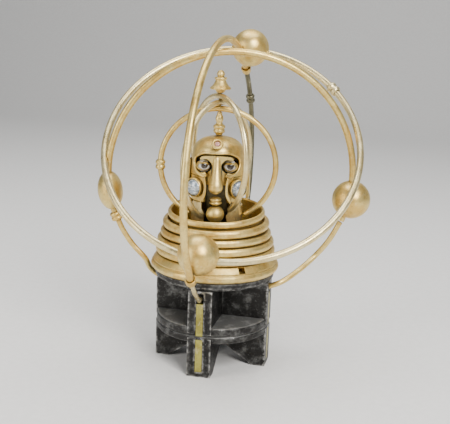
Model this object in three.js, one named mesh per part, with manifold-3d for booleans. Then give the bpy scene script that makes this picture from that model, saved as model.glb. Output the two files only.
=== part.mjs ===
// Armillary orrery: a brass mask under six hoop strands turns inside a ringed collar,
// and four planet balls ride on three large hoops that spring from a finned iron base.
// Millimetres, +Z up, the mask looks towards -Y.

import * as THREE from 'three';
import { mergeVertices } from 'three/addons/utils/BufferGeometryUtils.js';
import Module from 'manifold-3d';

const wasm = await Module();
wasm.setup();

// ---------------------------------------------------------------- driving dimensions

const GAP = 0.3;

const base = {
  radius: 46.5,
  seam: 34.0,
  lowerDiscBottom: 28.0,
  upperDiscTop: 41.0,
  top: 71.0,
  hubRadius: 14.0,
  finThickness: 19.0,
  footDepth: 11.0,
  slotWidth: 6.0,
  slotDepth: 5.0,
};

const deck = { radius: 48.5, stepRadius: 45.0, stepTop: 73.5, top: 78.0, pinHole: 5.3 };

const collar = { bore: 36.5, flangeBottom: 78.3, flangeTop: 91.2 };

// lowest ring first; the two upper rings dip towards the front, in degrees, and each has a
// skirt that reaches down inside the ring below it
const collarRings = [
  { middle: 94.95, half: 3.45, outer: 48.6, bore: 36.5, dip: 0, skirt: 0 },
  { middle: 101.8, half: 3.1, outer: 47.5, bore: 36.5, dip: 0, skirt: 0 },
  { middle: 108.3, half: 3.1, outer: 45.0, bore: 39.9, dip: 0, skirt: 0 },
  { middle: 116.5, half: 3.3, outer: 43.3, bore: 38.4, dip: 2.2, skirt: 4.0 },
  { middle: 124.75, half: 2.9, outer: 39.3, bore: 36.5, dip: 4.8, skirt: 6.0 },
];
const skirtWall = 0.8;

const bustTurn = 10.4;

const innerTube = 2.3;
const innerHoops = {
  hoop_side: { azimuth: 0, height: 162.5, a: 46.2, b: 45.5 },
  hoop_diagonal_left: { azimuth: -120, height: 166.0, a: 48.6, b: 46.9 },
  hoop_diagonal_right: { azimuth: -60, height: 171.5, a: 46.3, b: 46.3 },
};

const outerTube = 2.75;
const rodRadius = 2.2;
const frontRodRadius = 1.7;
const tilted = { centre: [10.6, 1.5, 177.1], radius: 101.7, azimuth: 9.6, tilt: 47.2 };
const crossways = { centre: [10.3, 5.0, 154.1], radius: 98.6, azimuth: 16.8, tilt: 92.6 };
const fore = { centre: [3.3, 2.4, 155.7], radius: 106.6, azimuth: 88.7, tilt: 90.0 };

const planetRadius = 15.6;

// ---------------------------------------------------------------- materials

const looks = {
  brass: { color: 0xc9b27c, roughness: 0.32, metalness: 1.0 },
  pale_brass: { color: 0xd8cfb2, roughness: 0.3, metalness: 1.0 },
  dark_brass: { color: 0x8d7f5e, roughness: 0.4, metalness: 1.0 },
  inlay_brass: { color: 0xa39a4a, roughness: 0.45, metalness: 1.0 },
  cast_iron: { color: 0x4a4b47, roughness: 0.6, metalness: 0.9 },
  shell: { color: 0xa9b2bb, roughness: 0.2, metalness: 0.1 },
  rose_stone: { color: 0xa77b74, roughness: 0.3, metalness: 0.0 },
  eye: { color: 0xe9e6df, roughness: 0.15, metalness: 0.0 },
};

// every dimension is measured from the base's axis; the group then moves so that the
// origin lies on the floor under the middle of the whole object
const baseAxis = { x: -13.5, y: -2.0 };

const group = new THREE.Group();
group.name = 'armillary_orrery';
group.position.set(baseAxis.x, baseAxis.y, 0);

// ---------------------------------------------------------------- solids and booleans

const degrees = (value) => (value * Math.PI) / 180;

function tidy(geometry) {
  const bare = geometry.clone();
  bare.deleteAttribute('normal');
  bare.deleteAttribute('uv');
  const merged = mergeVertices(bare, 1e-4);
  const place = merged.attributes.position;
  const kept = [];
  let volume = 0;
  const corner = [new THREE.Vector3(), new THREE.Vector3(), new THREE.Vector3()];
  for (let i = 0; i < merged.index.count; i += 3) {
    const ids = [merged.index.getX(i), merged.index.getX(i + 1), merged.index.getX(i + 2)];
    if (ids[0] === ids[1] || ids[1] === ids[2] || ids[2] === ids[0]) continue;
    ids.forEach((id, n) => corner[n].fromBufferAttribute(place, id));
    volume += corner[0].dot(corner[1].clone().cross(corner[2]));
    kept.push(ids);
  }
  const order = volume < 0 ? [0, 2, 1] : [0, 1, 2];
  const index = kept.flatMap((ids) => order.map((n) => ids[n]));
  const clean = new THREE.BufferGeometry();
  clean.setAttribute('position', place.clone());
  clean.setIndex(index);
  return clean;
}

function manifold(geometry) {
  const clean = tidy(geometry);
  return new wasm.Manifold(new wasm.Mesh({
    numProp: 3,
    vertProperties: new Float32Array(clean.attributes.position.array),
    triVerts: new Uint32Array(clean.index.array),
  }));
}

function fromManifold(solid) {
  const mesh = solid.getMesh();
  const geometry = new THREE.BufferGeometry();
  geometry.setAttribute('position', new THREE.BufferAttribute(mesh.vertProperties, 3));
  geometry.setIndex(new THREE.BufferAttribute(mesh.triVerts, 1));
  return geometry;
}

function join(...geometries) {
  return fromManifold(geometries.map(manifold).reduce((whole, piece) => whole.add(piece)));
}

function cut(geometry, ...tools) {
  const carve = (whole, tool) => whole.subtract(tool);
  return fromManifold(tools.map(manifold).reduce(carve, manifold(geometry)));
}

function part(name, look, geometry) {
  const clean = tidy(geometry);
  clean.computeVertexNormals();
  const mesh = new THREE.Mesh(clean, new THREE.MeshStandardMaterial(looks[look]));
  mesh.name = name;
  group.add(mesh);
}

// ---------------------------------------------------------------- basic shapes

// profile: [radius, height] pairs, bottom to top, that start and end on the axis or close up
function turned(profile, segments = 28) {
  const points = profile.map(([r, z]) => new THREE.Vector2(r, z));
  return new THREE.LatheGeometry(points, segments).rotateX(Math.PI / 2);
}

function ringed(profile, segments = 28) {
  return turned([...profile, profile[0]], segments);
}

function block(width, depth, height, x, y, z) {
  return new THREE.BoxGeometry(width, depth, height).translate(x, y, z);
}

// a plate with its outline in the X-Z plane, extruded along Y from y = from to y = to
function plateXZ(outline, from, to) {
  const shape = new THREE.Shape(outline.map(([x, z]) => new THREE.Vector2(x, z)));
  const solid = new THREE.ExtrudeGeometry(shape, { depth: to - from, bevelEnabled: false });
  return solid.rotateX(Math.PI / 2).translate(0, to, 0);
}

function aim(geometry, origin, direction, radial) {
  const z = new THREE.Vector3(...direction).normalize();
  const hint = new THREE.Vector3(...radial);
  const y = new THREE.Vector3().crossVectors(z, hint).normalize();
  const x = new THREE.Vector3().crossVectors(y, z);
  const place = new THREE.Matrix4().makeBasis(x, y, z).setPosition(...origin);
  return geometry.applyMatrix4(place);
}

const circle = (radius, segments) => new THREE.Shape(
  Array.from({ length: segments }, (_, i) => {
    const turn = (2 * Math.PI * (i + 0.5)) / segments;
    return new THREE.Vector2(radius * Math.cos(turn), radius * Math.sin(turn));
  }),
);

function tube(path, radius, steps, sides = 8) {
  return new THREE.ExtrudeGeometry(circle(radius, sides), {
    steps,
    bevelEnabled: false,
    extrudePath: path,
  });
}

// ---------------------------------------------------------------- hoops

// directions along a hoop: "across" is level, "rise" is the steepest line of its plane
function hoopPlane({ azimuth, tilt }) {
  const a = degrees(azimuth);
  const t = degrees(tilt);
  return {
    across: new THREE.Vector3(Math.cos(a), Math.sin(a), 0),
    rise: new THREE.Vector3(-Math.sin(a) * Math.cos(t), Math.cos(a) * Math.cos(t), Math.sin(t)),
  };
}

class HoopArc extends THREE.Curve {
  constructor(centre, across, rise, a, b, from, to) {
    super();
    this.centre = new THREE.Vector3(...centre);
    Object.assign(this, { across, rise, a, b, from, to });
  }

  getPoint(t, target = new THREE.Vector3()) {
    const angle = degrees(this.from + (this.to - this.from) * t);
    return target
      .copy(this.centre)
      .addScaledVector(this.across, this.a * Math.cos(angle))
      .addScaledVector(this.rise, this.b * Math.sin(angle));
  }
}

function hoopArc(hoop, from, to) {
  const { across, rise } = hoopPlane(hoop);
  return new HoopArc(hoop.centre, across, rise, hoop.radius, hoop.radius, from, to);
}

function onHoop(hoop, angle) {
  const arc = hoopArc(hoop, angle, angle + 1);
  const at = arc.getPoint(0);
  const ahead = arc.getPoint(0.001).sub(at).normalize();
  const outward = at.clone().sub(arc.centre).normalize();
  return { at: at.toArray(), ahead: ahead.toArray(), outward: outward.toArray() };
}

function fullHoop(hoop, radius, segments, sides) {
  const profile = Array.from({ length: sides }, (_, i) => {
    const turn = (2 * Math.PI * (i + 0.5)) / sides;
    return [hoop.radius + radius * Math.cos(turn), radius * Math.sin(turn)];
  });
  const { across, rise } = hoopPlane(hoop);
  const normal = new THREE.Vector3().crossVectors(across, rise);
  const place = new THREE.Matrix4().makeBasis(across, rise, normal).setPosition(...hoop.centre);
  return ringed(profile, segments).applyMatrix4(place);
}

// ---------------------------------------------------------------- iron base

const quarterTurns = { front: -90, right: 0, rear: 90, left: 180 };

function finned(disc, finOutline, slotBottom, slotTop) {
  const half = base.finThickness / 2;
  const hub = turned([
    [0, finOutline.hubBottom],
    [base.hubRadius, finOutline.hubBottom],
    [base.hubRadius, finOutline.hubTop],
    [0, finOutline.hubTop],
  ], 16);
  const fins = Object.values(quarterTurns).map((turn) => (
    plateXZ(finOutline.points, -half, half).rotateZ(degrees(turn))
  ));
  const slots = Object.values(quarterTurns).map((turn) => block(
    2 * base.slotDepth,
    base.slotWidth,
    slotTop - slotBottom,
    base.radius,
    0,
    (slotTop + slotBottom) / 2,
  ).rotateZ(degrees(turn)));
  return cut(join(disc, hub, ...fins), ...slots);
}

const rim = base.radius + 0.3;
part('base_casting_lower', 'cast_iron', finned(
  turned([
    [0, base.lowerDiscBottom],
    [rim - 1.2, base.lowerDiscBottom],
    [rim, base.lowerDiscBottom + 1.2],
    [rim, base.seam - 1.1],
    [rim - 0.8, base.seam - 0.15],
    [0, base.seam - 0.15],
  ], 36),
  {
    hubBottom: 15,
    hubTop: base.lowerDiscBottom + 1,
    points: [
      [5, 15],
      [base.hubRadius, 15],
      [base.radius - base.footDepth, 0],
      [base.radius, 0],
      [base.radius, base.seam - 2],
      [5, base.seam - 2],
    ],
  },
  4.0,
  31.4,
));

part('base_casting_upper', 'cast_iron', finned(
  turned([
    [0, base.seam + 0.15],
    [rim - 0.8, base.seam + 0.15],
    [rim, base.seam + 1.1],
    [rim, base.upperDiscTop - 1.2],
    [rim - 1.2, base.upperDiscTop],
    [0, base.upperDiscTop],
  ], 36),
  {
    hubBottom: base.upperDiscTop - 1,
    hubTop: base.top,
    points: [
      [5, base.seam + 2],
      [base.radius, base.seam + 2],
      [base.radius, base.top],
      [5, base.top],
    ],
  },
  base.seam - 1,
  69.0,
));

for (const [side, turn] of Object.entries(quarterTurns)) {
  const width = base.slotWidth - 2 * GAP;
  const inner = base.radius - base.slotDepth + GAP;
  const depth = base.radius - inner;
  const bars = { lower: [4.3, 31.1], upper: [base.seam + 0.3, 60.6] };
  for (const [level, [bottom, top]] of Object.entries(bars)) {
    const bar = block(depth, width, top - bottom, inner + depth / 2, 0, (top + bottom) / 2);
    part(`inlay_bar_${level}_${side}`, 'inlay_brass', bar.rotateZ(degrees(turn)));
  }
}

part('deck_plate', 'cast_iron', ringed([
  [deck.pinHole, base.top + GAP],
  [deck.stepRadius, base.top + GAP],
  [deck.stepRadius, deck.stepTop],
  [deck.radius, deck.stepTop],
  [deck.radius, deck.top - 1.0],
  [deck.radius - 1.0, deck.top],
  [deck.pinHole, deck.top],
], 32));

// ---------------------------------------------------------------- brass collar

const flange = ringed([
  [collar.bore, collar.flangeBottom],
  [48.2, collar.flangeBottom],
  [50.8, 79.3],
  [52.4, 81.9],
  [51.6, 84.4],
  [50.0, 85.4],
  [50.6, 86.3],
  [49.8, 87.4],
  [47.4, collar.flangeTop],
  [collar.bore, collar.flangeTop],
], 36);
const windowAngle = -51.4;
const flangeWindow = block(8, 6, 4.8, 50.0, 0, 88.6).rotateZ(degrees(windowAngle));
part('collar_flange', 'brass', cut(flange, flangeWindow));

collarRings.forEach(({ middle, half, outer, bore, dip, skirt }, index) => {
  const bulge = Math.min(half, outer - bore - skirtWall);
  const round = [-90, -45, 0, 45, 90].map((turn) => [
    outer - bulge + bulge * Math.cos(degrees(turn)),
    half * Math.sin(degrees(turn)),
  ]);
  const inside = skirt
    ? [[bore, -half - skirt], [bore + skirtWall, -half - skirt], [bore + skirtWall, -half]]
    : [[bore, -half]];
  const ring = ringed([...inside, ...round, [bore, half]], 32);
  part(`collar_ring_${index + 1}`, 'brass', ring.rotateX(degrees(dip)).translate(0, 0, middle));
});

// ---------------------------------------------------------------- turning bust: stand and neck

const bust = (geometry) => geometry.rotateZ(degrees(bustTurn));
const drumTop = 100.0;

part('turntable', 'dark_brass', bust(turned([
  [0, base.top + GAP + 0.5],
  [deck.pinHole - GAP, base.top + GAP + 0.5],
  [deck.pinHole - GAP, deck.top + GAP],
  [14, deck.top + GAP],
  [14, 92],
  [collar.bore - 0.8, 92],
  [collar.bore - 0.8, drumTop],
  [0, drumTop],
], 28)));

part('neck_drum', 'dark_brass', bust(turned([
  [0, drumTop + GAP],
  [13.5, drumTop + GAP],
  [13.5, 107],
  [11, 109],
  [11, 121],
  [12.5, 122],
  [12.5, 124],
  [0, 124],
], 18)));

// the gorget is a wall that wraps the neck and stays open in front for the chin ball
const gorget = { inner: 18.3, outer: 20.7, bottom: drumTop + GAP, top: 135.5, shoulder: 124.0 };
const gorgetWall = ringed([
  [gorget.inner, gorget.bottom],
  [gorget.outer, gorget.bottom],
  [gorget.outer, gorget.top],
  [gorget.inner, gorget.top],
], 32);
const throat = plateXZ([
  [-8.4, 90],
  [8.4, 90],
  [8.4, 121],
  [10.6, gorget.top + 5],
  [-10.6, gorget.top + 5],
  [-8.4, 121],
], -40, 0);
const shoulders = [-1, 1].map((side) => (
  plateXZ([
    [side * 30, 131.5],
    [side * 30, 140],
    [side * 16.5, 140],
    [side * 19.5, 131.5],
  ], -13, 13)
));
part('gorget', 'pale_brass', bust(cut(gorgetWall, throat, ...shoulders)));

// ---------------------------------------------------------------- turning bust: mask

const oval = { x: 1.0, y: 1.12 };
const ovalize = (geometry, x = oval.x, y = oval.y) => geometry.scale(x, y, 1);

const eye = { radius: 5.2, x: 10.2, y: -15.0, z: 164.7 };
const eyeBall = (side, radius, segments) => (
  new THREE.SphereGeometry(radius, segments, Math.round(segments * 0.7))
    .rotateX(Math.PI / 2)
    .translate(side * eye.x, eye.y, eye.z)
);
const eyeWindow = (side) => plateXZ([
  [side * (eye.x - 5.6), eye.z - 0.5],
  [side * (eye.x - 3.0), eye.z - 2.9],
  [side * (eye.x + 3.0), eye.z - 3.1],
  [side * (eye.x + 5.8), eye.z - 0.2],
  [side * (eye.x + 3.4), eye.z + 3.0],
  [side * (eye.x - 3.2), eye.z + 2.7],
], -30, eye.y);
const faceCore = ovalize(turned([
  [0, 124.3],
  [12, 124.3],
  [12.5, 140],
  [17.6, 144],
  [17.8, 172],
  [16.2, 178],
  [9, 182],
  [0, 183.2],
], 20));
part('face_core', 'brass', bust(cut(
  faceCore,
  ...[-1, 1].flatMap((side) => [eyeBall(side, eye.radius + 0.4, 12), eyeWindow(side)]),
)));
part('eye_right', 'eye', bust(eyeBall(1, eye.radius, 12)));
part('eye_left', 'eye', bust(eyeBall(-1, eye.radius, 12)));

const helmetShell = ovalize(turned([
  [0, 186.5],
  [8, 185.7],
  [13.8, 183.6],
  [18.6, 179.4],
  [20.6, 173],
  [21.4, 163],
  [21.6, 157],
  [19.2, 157],
  [19.0, 163],
  [18.6, 172],
  [16.9, 178.5],
  [9.2, 182.6],
  [0, 183.8],
].reverse(), 28));
const brow = plateXZ([
  [-7.2, 150],
  [7.2, 150],
  [8.6, 160.5],
  [12.5, 159.6],
  [16.2, 161.6],
  [17.9, 166.5],
  [16.6, 171.5],
  [11.5, 174.8],
  [0, 175.8],
  [-11.5, 174.8],
  [-16.6, 171.5],
  [-17.9, 166.5],
  [-16.2, 161.6],
  [-12.5, 159.6],
  [-8.6, 160.5],
], -40, 0);
part('helmet', 'brass', bust(cut(helmetShell, brow)));

// a wall that follows the mask's oval between two bearings, outline given by its profile
function mantle(profile, from, to, segments) {
  const points = [...profile, profile[0]];
  const wall = ovalize(ringed(profile, segments));
  const reach = 60;
  const low = Math.min(...points.map(([, z]) => z)) - 1;
  const high = Math.max(...points.map(([, z]) => z)) + 1;
  const steps = Math.ceil((to - from) / 60);
  const wedge = new THREE.Shape([
    new THREE.Vector2(0, 0),
    ...Array.from({ length: steps + 1 }, (_, i) => {
      const turn = degrees(from + ((to - from) * i) / steps);
      return new THREE.Vector2(reach * Math.cos(turn), reach * Math.sin(turn));
    }),
  ]);
  const keep = new THREE.ExtrudeGeometry(wedge, { depth: high - low, bevelEnabled: false });
  return fromManifold(manifold(wall).intersect(manifold(keep.translate(0, 0, low))));
}

part('neck_guard', 'brass', bust(mantle([
  [24.0, 137.5],
  [26.2, 139.0],
  [26.0, 156.7],
  [22.4, 168.0],
  [22.0, 166.8],
  [22.3, 157.0],
], -14, 194, 32)));

const cheek = { turn: 35, reach: 24.2, z: 147.6, bezel: 7.7 };
for (const [side, sign] of [['left', -1], ['right', 1]]) {
  const bearing = degrees(-90 + sign * cheek.turn);
  const facing = [Math.cos(bearing), Math.sin(bearing), 0];
  const seat = (geometry, reach) => aim(
    geometry,
    [reach * facing[0] + sign * 4.4, reach * facing[1], cheek.z],
    facing,
    [0, 0, 1],
  );
  const span = [-90 + sign * 24, -90 + sign * 70].sort((a, b) => a - b);
  const plate = mantle([
    [18.6, 136.5],
    [21.4, 136.5],
    [21.6, 156.6],
    [19.2, 156.6],
  ], ...span, 30);
  const notchRadius = cheek.bezel + GAP;
  const notch = seat(turned([[0, -12], [notchRadius, -12], [notchRadius, 12], [0, 12]], 16), 22);
  part(`cheek_plate_${side}`, 'brass', bust(cut(plate, notch)));
  part(`cheek_bezel_${side}`, 'brass', bust(seat(turned([
    [0, -5.6],
    [6.0, -5.6],
    [cheek.bezel, -4.4],
    [cheek.bezel, -0.5],
    [cheek.bezel - 0.5, 0.2],
    [cheek.bezel - 0.9, 0],
    [cheek.bezel - 1.0, -1.7],
    [0, -1.7],
  ], 16), cheek.reach)));
  part(`cheek_disc_${side}`, 'shell', bust(seat(turned([
    [0, -1.4],
    [cheek.bezel - 1.3, -1.4],
    [cheek.bezel - 1.3, -0.6],
    [5.2, 0.8],
    [2.8, 1.7],
    [0, 2.0],
  ], 16), cheek.reach)));
}

const medallionTilt = degrees(38);
const medallionFacing = [0, -Math.cos(medallionTilt), Math.sin(medallionTilt)];
const onBrow = (geometry) => aim(geometry, [0, -21.3, 182.6], medallionFacing, [1, 0, 0]);
part('medallion_bezel', 'brass', bust(onBrow(ringed([
  [2.5, -0.4],
  [4.4, -0.4],
  [4.7, 0.6],
  [4.0, 1.6],
  [2.9, 1.5],
  [2.5, 0.8],
], 14))));
part('medallion_stone', 'rose_stone', bust(onBrow(turned([
  [0, -0.4],
  [2.2, -0.4],
  [2.2, 0.6],
  [1.3, 1.3],
  [0, 1.5],
], 10))));

// the nose is a turned drop whose axis leans forward towards the tip
const noseTop = [0, -20.4, 171.6];
const noseLean = degrees(14);
const nose = turned([
  [0, -28.0],
  [2.4, -27.5],
  [4.6, -25.6],
  [5.6, -22.6],
  [5.2, -18.4],
  [3.9, -11.0],
  [3.1, -4.0],
  [3.0, 0.0],
  [1.6, 1.8],
  [0, 2.2],
], 14);
part('nose', 'brass', bust(cut(
  aim(nose, noseTop, [0, Math.sin(noseLean), Math.cos(noseLean)], [1, 0, 0]),
  ovalize(turned([[0, 139], [18.1, 139], [18.1, 172.2], [16.5, 178.2], [0, 183]], 20)),
)));

const mouth = { y: -22.4, lipsBottom: 135.2, lipsTop: 141.6, chinRadius: 7.1, chinHeight: 127.5 };
part('lips', 'brass', bust(turned([
  [0, mouth.lipsBottom],
  [3.4, mouth.lipsBottom],
  [4.9, 136.4],
  [4.9, 137.2],
  [3.6, 138.2],
  [4.7, 139.1],
  [4.7, 139.9],
  [3.2, 141.0],
  [1.8, mouth.lipsTop],
  [0, mouth.lipsTop],
], 14).translate(0, mouth.y, 0)));

const chinProfile = [-60, -30, 0, 30, 60].map((turn) => [
  mouth.chinRadius * Math.cos(degrees(turn)),
  mouth.chinHeight + mouth.chinRadius * Math.sin(degrees(turn)),
]);
part('chin_ball', 'brass', bust(turned([
  [0, drumTop + GAP],
  [4.2, drumTop + GAP],
  [4.2, 103],
  [2.3, 105],
  [2.3, 118],
  ...chinProfile,
  [0, mouth.chinHeight + mouth.chinRadius],
], 14).translate(0, mouth.y, 0)));

// ---------------------------------------------------------------- turning bust: hoops and finial

const hoopEnd = 22.4;
for (const [name, hoop] of Object.entries(innerHoops)) {
  const { across, rise } = hoopPlane({ azimuth: hoop.azimuth, tilt: 90 });
  const dip = (Math.acos(hoopEnd / hoop.a) * 180) / Math.PI;
  const arc = new HoopArc([0, 0, hoop.height], across, rise, hoop.a, hoop.b, -dip, 180 + dip);
  const eyelet = turned([[0, 190], [1.5, 190], [1.5, 225], [0, 225]], 8);
  const look = name === 'hoop_side' ? 'brass' : 'pale_brass';
  part(name, look, bust(cut(tube(arc, innerTube, 40, 6), eyelet)));
}

const sleeveProfile = (bore, bead, length) => {
  const waist = bead - 0.9;
  return ringed([
    [bore, -length / 2],
    [waist, -length / 2],
    [bead, -length * 0.36],
    [bead, -length * 0.18],
    [waist, 0],
    [bead, length * 0.18],
    [bead, length * 0.36],
    [waist, length / 2],
    [bore, length / 2],
  ], 12);
};

part('sleeve_inner', 'brass', bust(
  sleeveProfile(innerTube + 0.5, 4.0, 7.5).translate(-innerHoops.hoop_side.a, 0, 161.5),
));

part('spindle', 'brass', bust(turned([
  [0, 186.9],
  [2.6, 186.9],
  [2.9, 188.6],
  [4.5, 189.2],
  [4.6, 191.0],
  [3.9, 191.9],
  [4.8, 192.8],
  [4.8, 194.6],
  [3.2, 195.4],
  [2.3, 196.8],
  [3.2, 199.4],
  [3.0, 201.4],
  [1.9, 203.6],
  [1.9, 205.3],
  [1.1, 205.3],
  [1.1, 223.2],
  [0, 223.2],
], 12)));

part('finial', 'brass', bust(turned([
  [1.4, 220.4],
  [3.0, 220.4],
  [3.7, 221.8],
  [4.4, 223.0],
  [8.2, 223.2],
  [8.4, 224.1],
  [7.8, 224.8],
  [5.6, 226.0],
  [3.6, 229.0],
  [3.2, 230.3],
  [4.8, 231.0],
  [5.0, 231.9],
  [4.6, 232.5],
  [2.3, 232.8],
  [3.3, 234.6],
  [2.6, 236.8],
  [1.2, 237.9],
  [0, 238.1],
  [0, 224.0],
  [1.4, 224.0],
  [1.4, 220.4],
], 16)));

// ---------------------------------------------------------------- outer hoops

const crossGroove = tube(hoopArc(crossways, 150, 190), outerTube + 0.5, 8, 8);
part('hoop_tilted', 'pale_brass', cut(fullHoop(tilted, outerTube, 60, 8), crossGroove));

const tubeEnds = { crosswaysRight: -21.5, crosswaysLeft: 199.5, foreFront: 217.5, foreRear: 48.5 };
part('hoop_crossways', 'brass', tube(
  hoopArc(crossways, tubeEnds.crosswaysRight, tubeEnds.crosswaysLeft),
  outerTube,
  44,
  8,
));
part('hoop_fore', 'brass', tube(
  hoopArc(fore, tubeEnds.foreRear, tubeEnds.foreFront),
  outerTube,
  36,
  8,
));

// a rod starts in line with its hoop's tube, follows the hoop through the stated angles,
// passes the stated points and ends in the slot of a base fin
function rod(hoop, angles, points, radius, steps) {
  const along = angles.map((angle) => onHoop(hoop, angle).at);
  const path = [...along, ...points].map((point) => new THREE.Vector3(...point));
  return tube(new THREE.CatmullRomCurve3(path), radius, steps, 6);
}

const seat = base.radius - base.slotDepth + rodRadius + 0.8;
part('rod_right', 'brass', rod(
  crossways,
  [-22.2, -33, -43],
  [[67, 15, 77], [54.5, 2, 69.4], [seat, 0, 65.6]],
  rodRadius,
  16,
));
part('rod_left', 'brass', rod(
  crossways,
  [200.3, 208, 217, 226],
  [[-54, -4, 73], [-50, -0.5, 67.8], [-seat, 0, 65.2]],
  rodRadius,
  18,
));
part('rod_front', 'pale_brass', rod(
  fore,
  [219.5, 228, 236],
  [[0.3, -50, 65.4], [0, -seat, 64.2]],
  frontRodRadius,
  10,
));
part('rod_rear', 'dark_brass', rod(
  fore,
  [46.5, 38, 29.5, 21, 5, -15, -35, -48],
  [[1, 52, 67], [0, seat, 65.2]],
  rodRadius,
  26,
));

function sleeve(name, look, hoop, angle, bore, bead, length) {
  const spot = onHoop(hoop, angle);
  part(name, look, aim(sleeveProfile(bore, bead, length), spot.at, spot.ahead, spot.outward));
}

sleeve('sleeve_left', 'brass', crossways, 200.9, outerTube + 0.4, 4.7, 7.0);
sleeve('sleeve_rear', 'dark_brass', fore, 29.5, rodRadius + 0.5, 3.9, 8.0);
sleeve('sleeve_tilted', 'pale_brass', tilted, 38, outerTube + 0.5, 4.5, 9.0);

// a clip is a small cup on the end of a tube, with the thin rod leaving through its floor
function clip(name, hoop, angle, direction, hole) {
  const spot = onHoop(hoop, angle);
  const facing = spot.ahead.map((value) => value * direction);
  const cup = ringed([
    [hole, -3.4],
    [2.9, -3.4],
    [4.4, -1.6],
    [4.7, 3.2],
    [outerTube + 0.35, 3.2],
    [outerTube + 0.35, -0.6],
    [hole, -0.6],
  ], 12);
  part(name, 'brass', aim(cup, spot.at, facing, spot.outward));
}

clip('clip_front', fore, tubeEnds.foreFront + 0.9, -1, frontRodRadius + 0.4);
clip('clip_rear', fore, tubeEnds.foreRear - 0.9, 1, rodRadius + 0.4);

// ---------------------------------------------------------------- planets

function bore(hoop, angle, radius) {
  return tube(hoopArc(hoop, angle - 13, angle + 13), radius, 4, 8);
}

function planet(centre, hoop, angle) {
  const spot = onHoop(hoop, angle);
  return aim(
    new THREE.SphereGeometry(planetRadius, 18, 11).rotateX(Math.PI / 2),
    centre,
    spot.ahead,
    spot.outward,
  );
}

part('planet_front', 'brass', cut(
  planet([3.3, -68.3, 106.7], tilted, 259),
  bore(tilted, 259, outerTube + 0.35),
));
part('planet_top', 'brass', cut(
  planet([10.0, 64.0, 253.5], tilted, 84),
  bore(tilted, 84, outerTube + GAP),
  bore(fore, 62, outerTube + GAP),
));
part('planet_right', 'brass', cut(
  planet([104.8, 34.4, 136.2], crossways, -10.5),
  bore(crossways, -10.5, outerTube + 0.35),
));

// the left planet is a flattened ball on a straight, loose bore, so it can spin like a bead
const leftSpot = onHoop(crossways, 188.2);
const leftCentre = leftSpot.at.map((value, n) => value - 0.6 * leftSpot.outward[n]);
const leftBall = new THREE.SphereGeometry(planetRadius, 18, 11)
  .rotateX(Math.PI / 2)
  .scale(0.64, 1, 1);
const leftBore = turned([[0, -20], [3.7, -20], [3.7, 20], [0, 20]], 10);
part('planet_left', 'brass', aim(cut(leftBall, leftBore), leftCentre, leftSpot.ahead, leftSpot.outward));

export default group;
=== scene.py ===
"""Armillary orrery: a brass mask under hoops turns in a ringed collar, with four planet
balls on three large hoops over a finned iron base. Lengths are millimetres from the base's
axis until place() turns them into metres in the row frame. The mask looks towards -Y."""

import math

import bmesh
import bpy
from mathutils import Matrix, Vector


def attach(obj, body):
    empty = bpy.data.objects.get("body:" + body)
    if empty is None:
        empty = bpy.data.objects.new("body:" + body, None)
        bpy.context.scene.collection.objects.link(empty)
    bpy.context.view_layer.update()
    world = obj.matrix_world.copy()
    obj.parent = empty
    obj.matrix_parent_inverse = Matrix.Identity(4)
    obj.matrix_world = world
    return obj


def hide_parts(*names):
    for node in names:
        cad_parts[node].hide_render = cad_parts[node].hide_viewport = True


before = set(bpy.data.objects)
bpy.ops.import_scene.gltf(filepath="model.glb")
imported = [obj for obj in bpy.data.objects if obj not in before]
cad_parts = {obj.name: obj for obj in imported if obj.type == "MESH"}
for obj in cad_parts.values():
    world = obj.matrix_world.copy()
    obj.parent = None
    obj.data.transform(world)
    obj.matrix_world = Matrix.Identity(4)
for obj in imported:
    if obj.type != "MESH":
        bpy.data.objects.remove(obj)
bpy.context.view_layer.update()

MM = 0.001
BASE_AXIS = Vector((-13.5, -2.0, 0.0))
BUST_TURN = 10.4


# ---------------------------------------------------------------- shapes


class Solid:
    """A closed surface: its points in millimetres, and its faces."""

    def __init__(self, points, faces):
        self.points = [Vector(point) for point in points]
        self.faces = faces

    def by(self, matrix):
        return Solid([matrix @ point for point in self.points], self.faces)

    def spin(self, angle):
        return self.by(Matrix.Rotation(math.radians(angle), 4, "Z"))

    def shift(self, x, y, z):
        return self.by(Matrix.Translation((x, y, z)))

    def stretch(self, x, y, z):
        return self.by(Matrix.Diagonal((x, y, z, 1.0)))

    def aim(self, origin, direction, radial):
        """Stands the solid's Z along direction, with its X as near to radial as that allows."""
        z = Vector(direction).normalized()
        y = z.cross(Vector(radial)).normalized()
        x = y.cross(z)
        turn = Matrix((x, y, z)).transposed().to_4x4()
        return self.by(Matrix.Translation(origin) @ turn)


def skin(rings, wrap):
    """Quads between neighbouring rings of point numbers. A ring of one point is a pole."""
    pairs = list(zip(rings, rings[1:]))
    if wrap:
        pairs.append((rings[-1], rings[0]))
    faces = []
    for low, high in pairs:
        count = max(len(low), len(high))
        for i in range(count):
            j = (i + 1) % count
            if len(low) == 1:
                faces.append((low[0], high[j], high[i]))
            elif len(high) == 1:
                faces.append((low[i], low[j], high[0]))
            else:
                faces.append((low[i], low[j], high[j], high[i]))
    return faces


def turned(profile, segments=96, wrap=False):
    """Turns (radius, height) pairs about Z. They start and end on the axis, or wrap round."""
    points = []
    rings = []
    for radius, height in profile:
        count = 1 if radius < 1e-6 else segments
        rings.append(list(range(len(points), len(points) + count)))
        for i in range(count):
            angle = 2 * math.pi * i / segments
            points.append((radius * math.cos(angle), radius * math.sin(angle), height))
    return Solid(points, skin(rings, wrap))


def ringed(profile, segments=96):
    return turned(profile, segments, wrap=True)


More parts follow.
